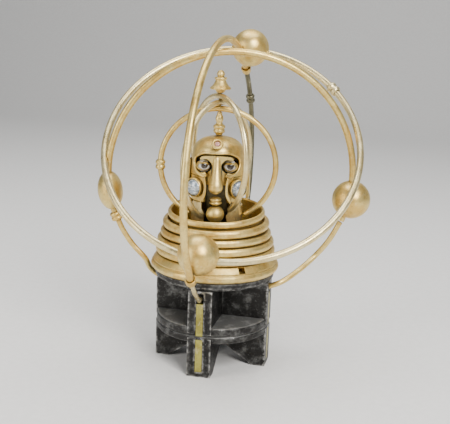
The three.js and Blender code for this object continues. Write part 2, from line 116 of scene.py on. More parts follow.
def sector(profile, start, end, segments=48):
    """A closed wall that a profile sweeps from one bearing to another, with flat ends."""
    points = []
    rings = []
    for i in range(segments + 1):
        angle = math.radians(start + (end - start) * i / segments)
        rings.append(list(range(len(points), len(points) + len(profile))))
        points += [(r * math.cos(angle), r * math.sin(angle), z) for r, z in profile]
    return Solid(points, skin(rings, False) + [tuple(rings[0]), tuple(reversed(rings[-1]))])


def soften(profile, radius=0.5, wrap=False, steps=4):
    """Rounds every corner of a profile, except its two ends if it doesn't wrap."""
    corners = [Vector(corner) for corner in profile]
    result = []
    for i, corner in enumerate(corners):
        at_end = not wrap and i in (0, len(corners) - 1)
        if at_end:
            result.append(tuple(corner))
            continue
        before = corners[i - 1] - corner
        after = corners[(i + 1) % len(corners)] - corner
        reach = min(radius, 0.45 * before.length, 0.45 * after.length)
        first = corner + before.normalized() * reach
        last = corner + after.normalized() * reach
        for n in range(steps + 1):
            t = n / steps
            blend = first * (1 - t) ** 2 + corner * (2 * t * (1 - t)) + last * t**2
            result.append(tuple(blend))
    return result


def flow(stations, steps=8, closed=False):
    """A smooth curve through every station (centripetal Catmull-Rom)."""
    line = [Vector(station) for station in stations]
    if closed:
        line = [line[-1], *line, line[0], line[1]]
    else:
        line = [2 * line[0] - line[1], *line, 2 * line[-1] - line[-2]]
    curve = []
    for a, b, c, d in zip(line, line[1:], line[2:], line[3:]):
        t1 = math.sqrt((b - a).length)
        t2 = t1 + math.sqrt((c - b).length)
        t3 = t2 + math.sqrt((d - c).length)
        for n in range(steps):
            t = t1 + (t2 - t1) * n / steps
            ab = a.lerp(b, t / t1)
            bc = b.lerp(c, (t - t1) / (t2 - t1))
            cd = c.lerp(d, (t - t2) / (t3 - t2))
            abc = ab.lerp(bc, t / t2)
            bcd = bc.lerp(cd, (t - t1) / (t3 - t1))
            curve.append(abc.lerp(bcd, (t - t1) / (t2 - t1)))
    if not closed:
        curve.append(line[-2])
    return curve


def vase(stations, steps=5):
    """A turned profile that flows through its stations and never crosses the axis."""
    return [(max(0.0, p.x), p.y) for p in flow(stations, steps)]


def tube(path, radius, sides=20, closed=False):
    """A round tube along a path, with flat ends unless the path closes."""
    line = [Vector(point) for point in path]
    count = len(line)
    points = []
    rings = []
    side = None
    for i, point in enumerate(line):
        before = line[i - 1] if closed or i else line[0]
        after = line[(i + 1) % count] if closed or i < count - 1 else line[-1]
        ahead = (after - before).normalized()
        if side is None:
            side = ahead.orthogonal().normalized()
        side = (side - ahead * side.dot(ahead)).normalized()
        other = ahead.cross(side)
        rings.append(list(range(len(points), len(points) + sides)))
        for n in range(sides):
            angle = 2 * math.pi * n / sides
            points.append(point + radius * (math.cos(angle) * side + math.sin(angle) * other))
    faces = skin(rings, False)
    if not closed:
        return Solid(points, faces + [tuple(reversed(rings[0])), tuple(rings[-1])])
    start = min(range(sides), key=lambda n: (points[rings[0][n]] - points[rings[-1][0]]).length)
    first = rings[0][start:] + rings[0][:start]
    return Solid(points, faces + skin([rings[-1], first], False))


def plate(outline, near, far):
    """A plate with its outline in X and Z that reaches from y = near to y = far."""
    count = len(outline)
    points = [(x, near, z) for x, z in outline] + [(x, far, z) for x, z in outline]
    faces = [tuple(range(count)), tuple(reversed(range(count, 2 * count)))]
    for i in range(count):
        j = (i + 1) % count
        faces.append((i, i + count, j + count, j))
    return Solid(points, faces)


def mirrored(half):
    """Follows the right half of an outline with its mirror image, back to the start."""
    back = half if half[-1][0] else half[:-1]
    return [*half, *[(-x, z) for x, z in reversed(back)]]


def block(width, depth, height, x, y, z):
    half = width / 2
    low = z - height / 2
    high = z + height / 2
    outline = [(x - half, low), (x + half, low), (x + half, high), (x - half, high)]
    return plate(outline, y - depth / 2, y + depth / 2)


def ball(radius, segments=96):
    rows = segments // 2
    profile = [
        (radius * math.sin(math.pi * i / rows), -radius * math.cos(math.pi * i / rows))
        for i in range(1, rows)
    ]
    return turned([(0, -radius), *profile, (0, radius)], segments)


# ---------------------------------------------------------------- hoops


class Hoop:
    """A circle or oval: "across" is level, "rise" is the steepest line of its plane."""

    def __init__(self, centre, azimuth, tilt, across_radius, rise_radius):
        a = math.radians(azimuth)
        t = math.radians(tilt)
        self.centre = Vector(centre)
        self.across = Vector((math.cos(a), math.sin(a), 0))
        self.rise = Vector(
            (-math.sin(a) * math.cos(t), math.cos(a) * math.cos(t), math.sin(t))
        )
        self.radii = (across_radius, rise_radius)

    def at(self, angle):
        turn = math.radians(angle)
        sideways = self.across * (self.radii[0] * math.cos(turn))
        return self.centre + sideways + self.rise * (self.radii[1] * math.sin(turn))

    def ahead(self, angle):
        return (self.at(angle + 0.5) - self.at(angle - 0.5)).normalized()

    def outward(self, angle):
        return (self.at(angle) - self.centre).normalized()

    def arc(self, start, end, steps):
        return [self.at(start + (end - start) * i / steps) for i in range(steps + 1)]


TILTED = Hoop((10.6, 1.5, 177.1), 9.6, 47.2, 101.7, 101.7)
CROSSWAYS = Hoop((10.3, 5.0, 154.1), 16.8, 92.6, 98.6, 98.6)
FORE = Hoop((3.3, 2.4, 155.7), 88.7, 90.0, 106.6, 106.6)
OUTER_TUBE = 2.75
INNER_TUBE = 2.3
ROD = 2.2
FRONT_ROD = 1.7


# ---------------------------------------------------------------- materials


class Look:
    """One material's nodes. Sizes are millimetres on the object."""

    def __init__(self, name):
        self.material = bpy.data.materials.new(name)
        self.material.use_nodes = True
        self.tree = self.material.node_tree
        self.shader = self.tree.nodes["Principled BSDF"]
        self.where = self.node("ShaderNodeTexCoord").outputs["Object"]

    def node(self, kind, **settings):
        made = self.tree.nodes.new(kind)
        for key, value in settings.items():
            setattr(made, key, value)
        return made

    def feed(self, socket, value):
        if isinstance(value, bpy.types.NodeSocket):
            self.tree.links.new(value, socket)
        else:
            socket.default_value = value

    def noise(self, size, detail=4.0, roughness=0.6, stretch=(1, 1, 1)):
        mapping = self.node("ShaderNodeMapping")
        mapping.inputs["Scale"].default_value = [1.0 / (size * MM) * s for s in stretch]
        self.feed(mapping.inputs["Vector"], self.where)
        texture = self.node("ShaderNodeTexNoise")
        texture.inputs["Scale"].default_value = 1.0
        texture.inputs["Detail"].default_value = detail
        texture.inputs["Roughness"].default_value = roughness
        self.feed(texture.inputs["Vector"], mapping.outputs["Vector"])
        return texture.outputs["Fac"]

    def ramp(self, value, low, high, start=0.0, end=1.0):
        """Brings value, between low and high, to a number between start and end."""
        made = self.node("ShaderNodeMapRange", interpolation_type="SMOOTHSTEP")
        self.feed(made.inputs["Value"], value)
        limits = {"From Min": low, "From Max": high, "To Min": start, "To Max": end}
        for key, number in limits.items():
            made.inputs[key].default_value = number
        return made.outputs["Result"]

    def mix(self, amount, first, second):
        made = self.node("ShaderNodeMix", data_type="RGBA")
        self.feed(made.inputs[0], amount)
        self.feed(made.inputs[6], first)
        self.feed(made.inputs[7], second)
        return made.outputs[2]

    def times(self, first, second, operation="MULTIPLY"):
        made = self.node("ShaderNodeMath", operation=operation)
        self.feed(made.inputs[0], first)
        self.feed(made.inputs[1], second)
        return made.outputs[0]

    def crevice(self, reach, inside=False):
        """0 in the open and 1 deep in a groove, or 1 at an outer edge when inside is set."""
        made = self.node("ShaderNodeAmbientOcclusion", inside=inside, samples=6)
        made.inputs["Distance"].default_value = reach * MM
        return self.ramp(made.outputs["AO"], 0.35, 0.95, 1.0, 0.0)

    def bump(self, height, depth, under=None):
        made = self.node("ShaderNodeBump")
        made.inputs["Distance"].default_value = depth * MM
        self.feed(made.inputs["Height"], height)
        if under is not None:
            self.feed(made.inputs["Normal"], under)
        return made.outputs["Normal"]

    def finish(self, colour, roughness, normal, metallic):
        self.feed(self.shader.inputs["Base Color"], colour)
        self.feed(self.shader.inputs["Roughness"], roughness)
        self.feed(self.shader.inputs["Normal"], normal)
        self.feed(self.shader.inputs["Metallic"], metallic)
        return self.material


def brass(name, bright, warm, tarnish_and_groove_shade, rough):
    """Aged satin brass: cloudy tarnish, painted shade darkening its crevices, fine rubbed scratches
    and soft dents.
    """
    look = Look(name)
    clouds = look.ramp(look.noise(14.0, 6.0, 0.65), 0.40, 0.62)
    mottle = look.ramp(look.noise(2.6, 6.0, 0.7), 0.48, 0.74)
    colour = look.mix(clouds, (*bright, 1), (*warm, 1))
    colour = look.mix(look.times(mottle, 0.38), colour, (*tarnish_and_groove_shade, 1))
    worn = look.ramp(look.noise(5.0, 5.0, 0.65), 0.56, 0.72)
    colour = look.mix(look.times(worn, 0.35), colour, (0.86, 0.76, 0.52, 1))
    # painted shade: ambient occlusion pulls the crevices towards the dark tarnish colour
    crevice_shade = look.crevice(3.2)
    colour = look.mix(look.times(crevice_shade, 0.8), colour, (*tarnish_and_groove_shade, 1))
    patches = look.ramp(look.noise(9.0, 5.0, 0.6), 0.35, 0.7, rough - 0.07, rough + 0.1)
    roughness = look.times(patches, look.times(crevice_shade, 0.6), "MAXIMUM")
    scratches = look.noise(0.5, 3.0, 0.6, stretch=(1, 1, 9))
    fine = look.bump(scratches, 0.02)
    soft = look.bump(look.noise(7.0, 3.0), 0.15, under=fine)
    return look.finish(colour, roughness, soft, 0.9)


def cast_iron(name):
    """Dark cast metal: sandy skin, lighter grey on upward faces and light metal on worn edges."""
    look = Look(name)
    sand = look.noise(1.1, 6.0, 0.7)
    bloom = look.ramp(look.noise(9.0, 6.0, 0.7), 0.46, 0.72)
    colour = look.mix(bloom, (0.022, 0.021, 0.02, 1), (0.13, 0.13, 0.125, 1))
    # faces that look upwards are made lighter grey, blotched by the bloom noise
    split = look.node("ShaderNodeSeparateXYZ")
    look.feed(split.inputs[0], look.node("ShaderNodeNewGeometry").outputs["Normal"])
    level = look.ramp(split.outputs["Z"], 0.6, 0.95)
    level = look.times(level, look.ramp(bloom, 0.0, 1.0, 0.55, 1.0))
    colour = look.mix(level, colour, (0.66, 0.66, 0.64, 1))
    flecks = look.ramp(look.noise(1.6, 4.0, 0.8), 0.6, 0.72)
    colour = look.mix(look.times(flecks, 0.5), colour, (0.4, 0.4, 0.39, 1))
    chips = look.ramp(look.noise(3.4, 5.0, 0.75), 0.42, 0.66)
    edges = look.times(look.crevice(2.2, inside=True), chips)
    colour = look.mix(edges, colour, (0.70, 0.69, 0.66, 1))
    roughness = look.ramp(sand, 0.3, 0.75, 0.34, 0.62)
    roughness = look.times(roughness, look.ramp(edges, 0.0, 1.0, 1.0, 0.65))
    skin_bump = look.bump(sand, 0.16)
    lumps = look.bump(look.noise(8.0, 4.0), 0.35, under=skin_bump)
    return look.finish(colour, roughness, lumps, 0.85)


def shell(name):
    """Silver blue mother-of-pearl: soft swirling layers under a clear polish."""
    look = Look(name)
    swirl = look.ramp(look.noise(3.0, 4.0, 0.5, stretch=(1, 1, 2.2)), 0.35, 0.68)
    colour = look.mix(swirl, (0.20, 0.25, 0.31, 1), (0.66, 0.70, 0.72, 1))
    veins = look.ramp(look.noise(1.3, 5.0, 0.6), 0.55, 0.7)
    colour = look.mix(look.times(veins, 0.3), colour, (0.2, 0.23, 0.27, 1))
    look.shader.inputs["Coat Weight"].default_value = 0.8
    look.shader.inputs["Coat Roughness"].default_value = 0.06
    return look.finish(colour, look.ramp(swirl, 0.0, 1.0, 0.18, 0.32), look.bump(swirl, 0.05), 0.35)


def stone(name, light, dark, size=1.2):
    """A polished, cloudy cabochon or enamel."""
    look = Look(name)
    clouds = look.ramp(look.noise(size, 5.0, 0.6), 0.4, 0.65)
    colour = look.mix(clouds, (*light, 1), (*dark, 1))
    look.shader.inputs["Coat Weight"].default_value = 0.6
    look.shader.inputs["Coat Roughness"].default_value = 0.05
    return look.finish(colour, look.ramp(clouds, 0.0, 1.0, 0.16, 0.3), look.bump(clouds, 0.03), 0.0)


# bright metal, warmer metal, colour of tarnish and of the painted shade in crevices, roughness
BRASSES = {
    "brass": ((0.79, 0.61, 0.22), (0.66, 0.44, 0.12), (0.17, 0.10, 0.025), 0.42),
    "pale_brass": ((0.80, 0.69, 0.39), (0.72, 0.57, 0.27), (0.20, 0.15, 0.06), 0.34),
    "dark_brass": ((0.19, 0.175, 0.11), (0.12, 0.11, 0.065), (0.04, 0.035, 0.02), 0.42),
    "inlay_brass": ((0.42, 0.38, 0.10), (0.26, 0.22, 0.05), (0.08, 0.06, 0.015), 0.44),
}
LOOKS = {
    **{name: brass(name, *values) for name, values in BRASSES.items()},
    "cast_iron": cast_iron("cast_iron"),
    "shell": shell("shell"),
    "rose_stone": stone("rose_stone", (0.62, 0.34, 0.30), (0.36, 0.16, 0.14)),
    "eye": stone("eye", (0.74, 0.72, 0.66), (0.55, 0.52, 0.46), 2.5),
}
IRIS = stone("iris", (0.012, 0.01, 0.008), (0.05, 0.03, 0.015), 0.6)


# ---------------------------------------------------------------- making a piece


def raw(name, solid):
    mesh = bpy.data.meshes.new(name)
    mesh.from_pydata([tuple(point) for point in solid.points], [], solid.faces)
    work = bmesh.new()
    work.from_mesh(mesh)
    bmesh.ops.remove_doubles(work, verts=work.verts, dist=1e-4)
    bmesh.ops.recalc_face_normals(work, faces=work.faces)
    work.to_mesh(mesh)
    work.free()
    made = bpy.data.objects.new(name, mesh)
    bpy.context.scene.collection.objects.link(made)
    return made


def carve(target, tool, operation):
    """Cuts or joins one solid into an object and keeps the result as its mesh."""
    cutter = raw("cutter", tool)
    change = target.modifiers.new("carve", "BOOLEAN")
    change.operation = operation
    change.solver = "EXACT"
    change.object = cutter
    seen = target.evaluated_get(bpy.context.evaluated_depsgraph_get())
    result = bpy.data.meshes.new_from_object(seen)
    target.modifiers.clear()
    target.data = result
    bpy.data.objects.remove(cutter)


def place(name, solid, look, body, joins=(), cuts=(), bevel=0.0, sharp=35.0, replaces=True):
    """Builds one visible piece. It rides on a body and stands for the CAD node of its name."""
    made = raw(f"{name}_fine", solid)
    for extra in joins:
        carve(made, extra, "UNION")
    for tool in cuts:
        carve(made, tool, "DIFFERENCE")
    made.data.transform(Matrix.Scale(MM, 4) @ Matrix.Translation(BASE_AXIS))
    made.data.materials.append(LOOKS[look])
    made.data.shade_smooth()
    made.data.set_sharp_from_angle(angle=math.radians(sharp))
    if bevel:
        edge = made.modifiers.new("edge", "BEVEL")
        edge.width = bevel * MM
        edge.segments = 3
        edge.limit_method = "ANGLE"
        edge.angle_limit = math.radians(sharp)
        edge.harden_normals = True
    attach(made, body)
    if replaces:
        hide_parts(name)
    return made


def on_stand(name, solid, look="brass", **options):
    return place(name, solid, look, "stand", **options)


def on_bust(name, solid, look="brass", **options):
    turned_tools = {
        key: [tool.spin(BUST_TURN) for tool in options.pop(key)]
        for key in ("joins", "cuts")
        if key in options
    }
    return place(name, solid.spin(BUST_TURN), look, "bust", **turned_tools, **options)


# ---------------------------------------------------------------- iron base

BASE = {"radius": 46.5, "seam": 34.0, "top": 71.0, "hub": 14.0, "fin": 19.0, "slot": 6.0, "deep": 5.0}
SEAM_GAP = 0.15
RIM = BASE["radius"] + 0.3
LOWER_TOP = BASE["seam"] - SEAM_GAP
UPPER_BOTTOM = BASE["seam"] + SEAM_GAP
QUARTERS = {"front": -90, "right": 0, "rear": 90, "left": 180}


def casting(name, disc, hub_bottom, hub_top, outline, slot_bottom, slot_top):
    half = BASE["fin"] / 2
    hub = turned([(0, hub_bottom), (BASE["hub"], hub_bottom), (BASE["hub"], hub_top), (0, hub_top)])
    fins = [plate(outline, -half, half).spin(turn) for turn in QUARTERS.values()]
    tall = slot_top - slot_bottom
    middle = (slot_top + slot_bottom) / 2
    slot = block(2 * BASE["deep"], BASE["slot"], tall, BASE["radius"], 0, middle)
    on_stand(
        name,
        turned(soften(disc, 0.9)),
        "cast_iron",
        joins=[hub, *fins],
        cuts=[slot.spin(turn) for turn in QUARTERS.values()],
        bevel=0.55,
    )


casting(
    "base_casting_lower",
    [(0, 28), (RIM - 1.2, 28), (RIM, 29.2), (RIM, 32.9), (RIM - 0.8, LOWER_TOP), (0, LOWER_TOP)],
    15,
    29,
    [(5, 15), (14, 15), (35.5, 0), (BASE["radius"], 0), (BASE["radius"], 32), (5, 32)],
    4.0,
    31.4,
)
casting(
    "base_casting_upper",
    [(0, UPPER_BOTTOM), (RIM - 0.8, UPPER_BOTTOM), (RIM, 35.1), (RIM, 39.8), (RIM - 1.2, 41), (0, 41)],
    40,
    BASE["top"],
    [(5, 36), (BASE["radius"], 36), (BASE["radius"], BASE["top"]), (5, BASE["top"])],
    33.0,
    69.0,
)

for side in QUARTERS:
    for level in ("lower", "upper"):
        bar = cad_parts[f"inlay_bar_{level}_{side}"]
        bar.data.materials.clear()
        bar.data.materials.append(LOOKS["inlay_brass"])
        edge = bar.modifiers.new("edge", "BEVEL")
        edge.width = 0.35 * MM
        edge.segments = 3

deck = [(5.3, 71.3), (45, 71.3), (45, 73.5), (48.5, 73.5), (48.5, 78), (5.3, 78)]
on_stand("deck_plate", ringed(soften(deck, 0.8, True)), "cast_iron")


# ---------------------------------------------------------------- brass collar

BORE = 36.5
flange = soften(
    [
        (BORE, 78.3),
        (48.2, 78.3),
        (50.8, 79.3),
        (52.4, 81.9),
        (51.6, 84.4),
        (50.0, 85.4),
        (50.6, 86.3),
        (49.8, 87.4),
        (47.4, 91.2),
        (BORE, 91.2),
    ],
    1.4,
    True,
    6,
)
window = block(17, 5.4, 4.4, 50.0, 0, 88.4).spin(-51.4)
on_stand("collar_flange", ringed(flange, 144), cuts=[window], bevel=0.25)

SKIRT_WALL = 0.8
# middle height, half height, outer radius, bore, dip towards the front in degrees, skirt
COLLAR_RINGS = [
    (94.95, 3.45, 48.6, 36.5, 0, 0),
    (101.8, 3.1, 47.5, 36.5, 0, 0),
    (108.3, 3.1, 45.0, 39.9, 0, 0),
    (116.5, 3.3, 43.3, 38.4, 2.2, 4.0),
    (124.75, 2.9, 39.3, 36.5, 4.8, 6.0),
]
for number, (middle, half, outer, hole, dip, skirt) in enumerate(COLLAR_RINGS, 1):
    bulge = min(0.68 * half, outer - hole - SKIRT_WALL)
    arc = [math.radians(-90 + 7.5 * i) for i in range(25)]
    roll = [(outer - bulge + bulge * math.cos(a), half * math.sin(a)) for a in arc]
    inside = [(hole, -half)]
    if skirt:
        outside = hole + SKIRT_WALL
        inside = [(hole, -half - skirt), (outside, -half - skirt), (outside, -half)]
    ring = ringed([*inside, *roll, (hole + 1.0, half), (hole, half - 1.3)], 144)
    lean = Matrix.Rotation(math.radians(dip), 4, "X")
    on_stand(f"collar_ring_{number}", ring.by(lean).shift(0, 0, middle))


# ---------------------------------------------------------------- bust: stand and neck

on_bust(
    "turntable",
    turned(
        soften(
            [
                (0, 71.8),
                (5.0, 71.8),
                (5.0, 78.3),
                (14, 78.3),
                (14, 92),
                (35.7, 92),
                (35.7, 100),
                (0, 100),
            ],
            0.6,
        )
    ),
    "dark_brass",
)
neck = [
    (0, 100.3),
    (13.5, 100.3),
    (13.5, 107),
    (11, 109),
    (11, 121),
    (12.5, 122),
    (12.5, 124),
    (0, 124),
]
on_bust("neck_drum", turned(soften(neck, 0.8)), "dark_brass")

gorget_wall = [(18.3, 100.3), (20.7, 100.3), (20.7, 135.5), (18.3, 135.5)]
gorget = ringed(soften(gorget_wall, 0.5, True), 128)
THROAT = [(9.6, 90), (9.6, 119), (8.4, 125.5), (11.4, 130.5), (11.6, 140.5)]
throat = plate(mirrored(THROAT), -40, 0)
shoulders = [
    plate([(s * 30, 131.5), (s * 30, 140), (s * 16.5, 140), (s * 19.5, 131.5)], -13, 13)
    for s in (-1, 1)
]
on_bust("gorget", gorget, "pale_brass", cuts=[throat, *shoulders], bevel=0.3)


# ---------------------------------------------------------------- bust: mask

OVAL = 1.12
EYE = Vector((10.2, -15.0, 164.7))
EYE_RADIUS = 5.2


def oval(solid):
    return solid.stretch(1, OVAL, 1)


def almond(side, wide, up, down, steps=16):
    """An eye opening: two shallow arches that meet in points at its corners."""
    outline = []
    for n in range(2 * steps):
        turn = math.pi * n / steps
        height = math.sin(turn) * (up if n < steps else down)
        x = side * EYE.x + wide * math.cos(turn)
        outline.append((x, EYE.z + height * abs(math.sin(turn)) ** 0.3))
    return outline


core = turned(
    soften(
        [
            (0, 124.3),
            (12, 124.3),
            (12.5, 140),
            (17.6, 144),
            (17.8, 172),
            (16.2, 178),
            (9, 182),
            (0, 183.2),
        ],
        4.0,
        steps=8,
    )
)
SOCKET = (7.6, 8.6, 5.9)
SOCKET_MARGIN = 1.02
hollow = ball(1.0, 48).stretch(*SOCKET)
sockets = [hollow.shift(s * EYE.x, EYE.y, EYE.z) for s in (-1, 1)]
brow_arc = [(-16, 170.6), (-9, 173.4), (0, 174.2), (9, 173.4), (16, 170.6), (13, 178), (-13, 178)]
brow_groove = plate(brow_arc, -40, -13)
mouth = plate([(-9, 120), (9, 120), (8, 150), (-8, 150)], -40, -4)
mask_core = on_bust("face_core", oval(core), cuts=[*sockets, brow_groove, mouth], bevel=0.2)
# the second material is dark brass, used as painted shade in the recesses
mask_core.data.materials.append(LOOKS["dark_brass"])

# the walls of the sockets, mouth and brow groove get the dark brass as painted shade
RECESSES = (
    # half width, then lowest and highest Z, then Y at the front
    (9.2, 124.5, 150.2, -19.0),
    (16.0, 170.7, 176.5, -15.5),
)
unturn = Matrix.Rotation(math.radians(-BUST_TURN), 3, "Z")
for wall in mask_core.data.polygons:
    spot = unturn @ (wall.center / MM - BASE_AXIS)
    from_eye = Vector((abs(spot.x), spot.y, spot.z)) - EYE
    in_socket = Vector([d / r for d, r in zip(from_eye, SOCKET)]).length < SOCKET_MARGIN
    in_recess = any(
        abs(spot.x) < wide and low < spot.z < high and front < spot.y < 0
        for wide, low, high, front in RECESSES
    )
    if in_socket or in_recess:
        wall.material_index = 1

GAZE = Vector((0.10, -1.0, 0.24))
IRIS_ANGLE = 33
bust_turn = Matrix.Rotation(math.radians(BUST_TURN), 3, "Z")
for side, name in ((1, "eye_right"), (-1, "eye_left")):
    centre = Vector((side * EYE.x, EYE.y, EYE.z))
    eyeball = ball(EYE_RADIUS, 64).aim(centre, GAZE, (1, 0, 0)).spin(BUST_TURN)
    made = place(name, eyeball, "eye", name)
    made.data.materials.append(IRIS)
    middle = (bust_turn @ centre + BASE_AXIS) * MM
    gaze = bust_turn @ GAZE.normalized()
    for patch in made.data.polygons:
        outward = (patch.center - middle).normalized()
        if outward.dot(gaze) > math.cos(math.radians(IRIS_ANGLE)):
            patch.material_index = 1
    lid = ball(EYE_RADIUS + 0.9, 64).stretch(1, 1, 0.8).shift(*centre)
    inside = ball(EYE_RADIUS + 0.35, 64).shift(*centre)
    opening = plate(almond(side, 5.0, 2.5, 2.5), -40, EYE.y)
    on_bust(f"lid_{name}", lid, cuts=[inside, opening], bevel=0.15, replaces=False)

HELMET_OUT = [
    (21.6, 157),
    (21.4, 163),
    (20.6, 173),
    (18.6, 179.4),
    (13.8, 183.6),
    (8, 185.7),
    (0, 186.5),
]
HELMET_IN = [(0, 183.8), (9.2, 182.6), (16.9, 178.5), (18.6, 172), (19.0, 163), (19.2, 157)]
helmet = [*vase(HELMET_IN), *vase(HELMET_OUT)]
BROW = [
    (8.6, 160.5),
    (12.5, 159.6),
    (16.2, 161.6),
    (17.9, 166.5),
    (16.6, 171.5),
    (11.5, 174.8),
    (0, 175.8),
]
brow_curve = [(p.x, p.y) for p in flow(mirrored(BROW), 6)]
brow_cut = plate([(7.2, 150), *brow_curve, (-7.2, 150)], -40, 0)
on_bust("helmet", oval(turned(helmet, 128)), cuts=[brow_cut], bevel=0.25)


def helmet_radius(height):
    for (r1, z1), (r2, z2) in zip(HELMET_OUT, HELMET_OUT[1:]):
        if height <= z2:
            return r1 + (r2 - r1) * (height - z1) / (z2 - z1)
    return 0.0


def on_helmet(x, z, proud=0.0):
    radius = helmet_radius(z) + proud
    return (x, -OVAL * math.sqrt(max(0.0, radius**2 - x**2)), z)


GOGGLE = [(7.6, 158.4), (9.6, 157.2), (13.0, 158.0), (16.2, 160.6), *BROW[3:]]
rim_path = [on_helmet(point.x, point.y, -0.2) for point in flow(mirrored(GOGGLE), 6)]
on_bust("helmet_rim", tube(rim_path, 1.25, 16), replaces=False)
BRIDGE = [(2.6, 158), (3.2, 164), (4.2, 168), (7.6, 170.8), (13.0, 170.6), (12.0, 172.4), (0, 173.4)]
bridge_line = flow(mirrored(BRIDGE), 5)
on_bust(
    "brow_bridge",
    plate([(point.x, point.y) for point in bridge_line], -22.4, -16.0),
    cuts=[hollow.shift(s * EYE.x, EYE.y - 2.0, EYE.z - 0.4) for s in (-1, 1)],
    bevel=0.9,
    replaces=False,
)


def mantle(profile, start, end):
    """A wall that follows the mask's oval between two true bearings."""
    bearings = []
    for bearing in (start, end):
        turn = math.radians(bearing)
        flat = math.degrees(math.atan2(math.sin(turn) / OVAL, math.cos(turn)))
        bearings.append(flat + 360 * round((bearing - flat) / 360))
    return oval(sector(profile, *bearings))


guard = [(24.0, 137.5), (26.2, 139.0), (26.0, 156.7), (22.4, 168.0), (22.0, 166.8), (22.3, 157.0)]
on_bust("neck_guard", mantle(soften(guard, 0.8, True), -14, 194), bevel=0.3)

CHEEK = {"turn": 35, "reach": 24.2, "height": 147.6, "bezel": 7.7}
CHEEK_WALL = [(18.6, 136.5), (21.4, 136.5), (21.6, 156.6), (19.2, 156.6)]
for side, sign in (("left", -1), ("right", 1)):
    bearing = math.radians(-90 + sign * CHEEK["turn"])
    facing = Vector((math.cos(bearing), math.sin(bearing), 0))

    def seated(solid, reach):
        spot = facing * reach + Vector((sign * 4.4, 0, CHEEK["height"]))
        return solid.aim(spot, facing, (0, 0, 1))

    start, end = sorted((-90 + sign * 24, -90 + sign * 70))
    wall = mantle(soften(CHEEK_WALL, 0.6, True), start, end)
    hole = CHEEK["bezel"] + 0.3
    notch = seated(turned([(0, -12), (hole, -12), (hole, 12), (0, 12)]), 22)
    on_bust(f"cheek_plate_{side}", wall, cuts=[notch], bevel=0.3)
    bezel = CHEEK["bezel"]
    cup = [
        (0, -5.6),
        (6.0, -5.6),
        (bezel, -4.4),
        (bezel, -0.5),
        (bezel - 0.5, 0.3),
        (bezel - 0.95, 0),
        (bezel - 1.0, -1.7),
        (0, -1.7),
    ]
    on_bust(f"cheek_bezel_{side}", seated(turned(soften(cup, 0.35), 64), CHEEK["reach"]))
    dome = [(0, -1.4), (bezel - 1.3, -1.4), (bezel - 1.3, -0.6), (5.2, 0.8), (2.8, 1.7), (0, 2.0)]
    disc = turned(soften(dome, 1.2, steps=6), 64)
    on_bust(f"cheek_disc_{side}", seated(disc, CHEEK["reach"]), "shell")
    inner_edge = [(8.6, 157.0), (7.6, 151.5), (7.5, 146.0), (8.6, 141.0), (11.6, 136.6)]
    outer_edge = [(12.6, 138.6), (10.6, 142.2), (9.5, 146.5), (9.4, 151.0), (9.9, 156.6)]
    leaf = [(sign * p.x, p.y) for p in [*flow(inner_edge, 5), *flow(outer_edge, 5)]]
    on_bust(f"cheek_leaf_{side}", plate(leaf, -25.4, -22.6), bevel=0.4, replaces=False)

tilt = math.radians(38)


def on_brow(solid):
    return solid.aim((0, -21.3, 182.6), (0, -math.cos(tilt), math.sin(tilt)), (1, 0, 0))


badge = [(2.5, -0.4), (4.4, -0.4), (4.7, 0.6), (4.0, 1.6), (2.9, 1.5), (2.5, 0.8)]
on_bust("medallion_bezel", on_brow(ringed(soften(badge, 0.6, True), 48)))
gem = [(0, -0.4), (2.2, -0.4), (2.2, 0.6), (1.3, 1.3), (0, 1.5)]
on_bust("medallion_stone", on_brow(turned(soften(gem, 0.5), 48)), "rose_stone")

lean = math.radians(14)
nose = [
    (0, -28.0),
    (2.6, -27.5),
    (4.8, -25.6),
    (5.7, -22.6),
    (5.1, -18.4),
    (3.7, -11.0),
    (3.1, -4.0),
    (3.0, 0.0),
    (1.6, 1.8),
    (0, 2.2),
]
nose_way = (0, math.sin(lean), math.cos(lean))
on_bust("nose", turned(vase(nose), 64).aim((0, -20.4, 171.6), nose_way, (1, 0, 0)))

lips = [
    (0, 135.2),
    (3.4, 135.2),
    (4.9, 136.4),
    (4.9, 137.2),
    (3.6, 138.2),
    (4.7, 139.1),
    (4.7, 139.9),
    (3.2, 141.0),
    (1.8, 141.6),
    (0, 141.6),
]
MOUTH_Y = -22.4
on_bust("lips", turned(soften(lips, 0.7), 64).shift(0, MOUTH_Y, 0))

chin_arc = [math.radians(-66 + 6 * i) for i in range(26)]
chin = [(7.1 * math.cos(a), 127.5 + 7.1 * math.sin(a)) for a in chin_arc]
stem = [(0, 100.3), (4.2, 100.3), (4.2, 103), (2.3, 105), (2.3, 119.2)]
on_bust("chin_ball", turned([*soften(stem, 0.8), *chin, (0, 134.6)], 64).shift(0, MOUTH_Y, 0))


# ---------------------------------------------------------------- bust: hoops and finial

HOOP_END = 22.4
INNER_HOOPS = {
    "hoop_side": (0, 162.5, 46.2, 45.5, "brass"),
    "hoop_diagonal_left": (-120, 166.0, 48.6, 46.9, "pale_brass"),
    "hoop_diagonal_right": (-60, 171.5, 46.3, 46.3, "pale_brass"),
}
for name, (azimuth, height, wide, tall, look) in INNER_HOOPS.items():
    hoop = Hoop((0, 0, height), azimuth, 90, wide, tall)
    dip = math.degrees(math.acos(HOOP_END / wide))
    on_bust(name, tube(hoop.arc(-dip, 180 + dip, 140), INNER_TUBE), look, bevel=0.4, sharp=60)


def sleeve(hole, bead, length):
    """Two beads with a waist between them, bored for a tube."""
    waist = bead - 0.9
    shape = [
        (hole, -length / 2),
        (waist, -length / 2),
        (bead, -length * 0.36),
        (bead, -length * 0.18),
        (waist, 0),
        (bead, length * 0.18),
        (bead, length * 0.36),
        (waist, length / 2),
        (hole, length / 2),
    ]
    return ringed(soften(shape, 0.8, True), 48)


on_bust("sleeve_inner", sleeve(INNER_TUBE + 0.3, 4.0, 7.5).shift(-46.2, 0, 161.5))

